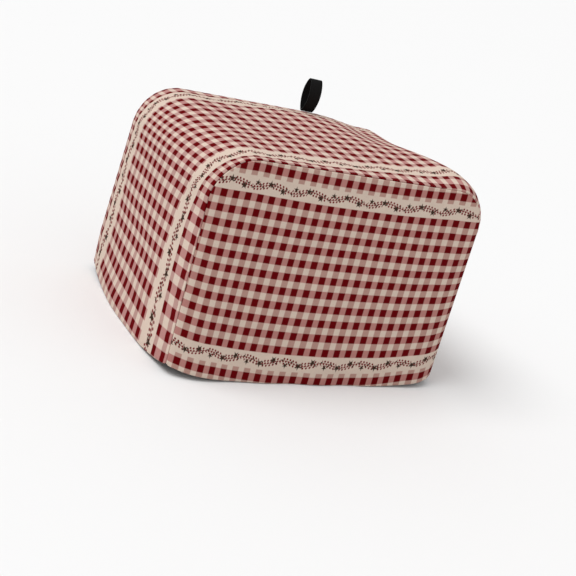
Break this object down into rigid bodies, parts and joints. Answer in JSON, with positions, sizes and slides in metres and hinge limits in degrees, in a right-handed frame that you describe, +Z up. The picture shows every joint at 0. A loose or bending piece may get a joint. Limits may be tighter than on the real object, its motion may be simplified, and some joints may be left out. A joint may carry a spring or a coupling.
{
  "type": "toaster cover",
  "caption": "Fitted fabric cover for a small kitchen appliance: two shaped panels and a wrap-over gusset strip, open at the hem, with a ribbon loop on top.",
  "frame": {"origin": "middle of the hem opening, on the surface that the hem stands on", "axes": "+X along the cover's length, -Y towards the front panel, +Z up; the loop is on the rear top seam"},
  "size_m": [0.316, 0.241, 0.2439],
  "materials": {
    "check_cloth": "woven cotton, dark red and cream check with garland bands",
    "ribbon": "black woven ribbon"
  },
  "bodies": {
    "root": {"front_panel": "check_cloth", "back_panel": "check_cloth", "gusset": "check_cloth", "handle_loop": "ribbon"}
  },
  "joints": []
}
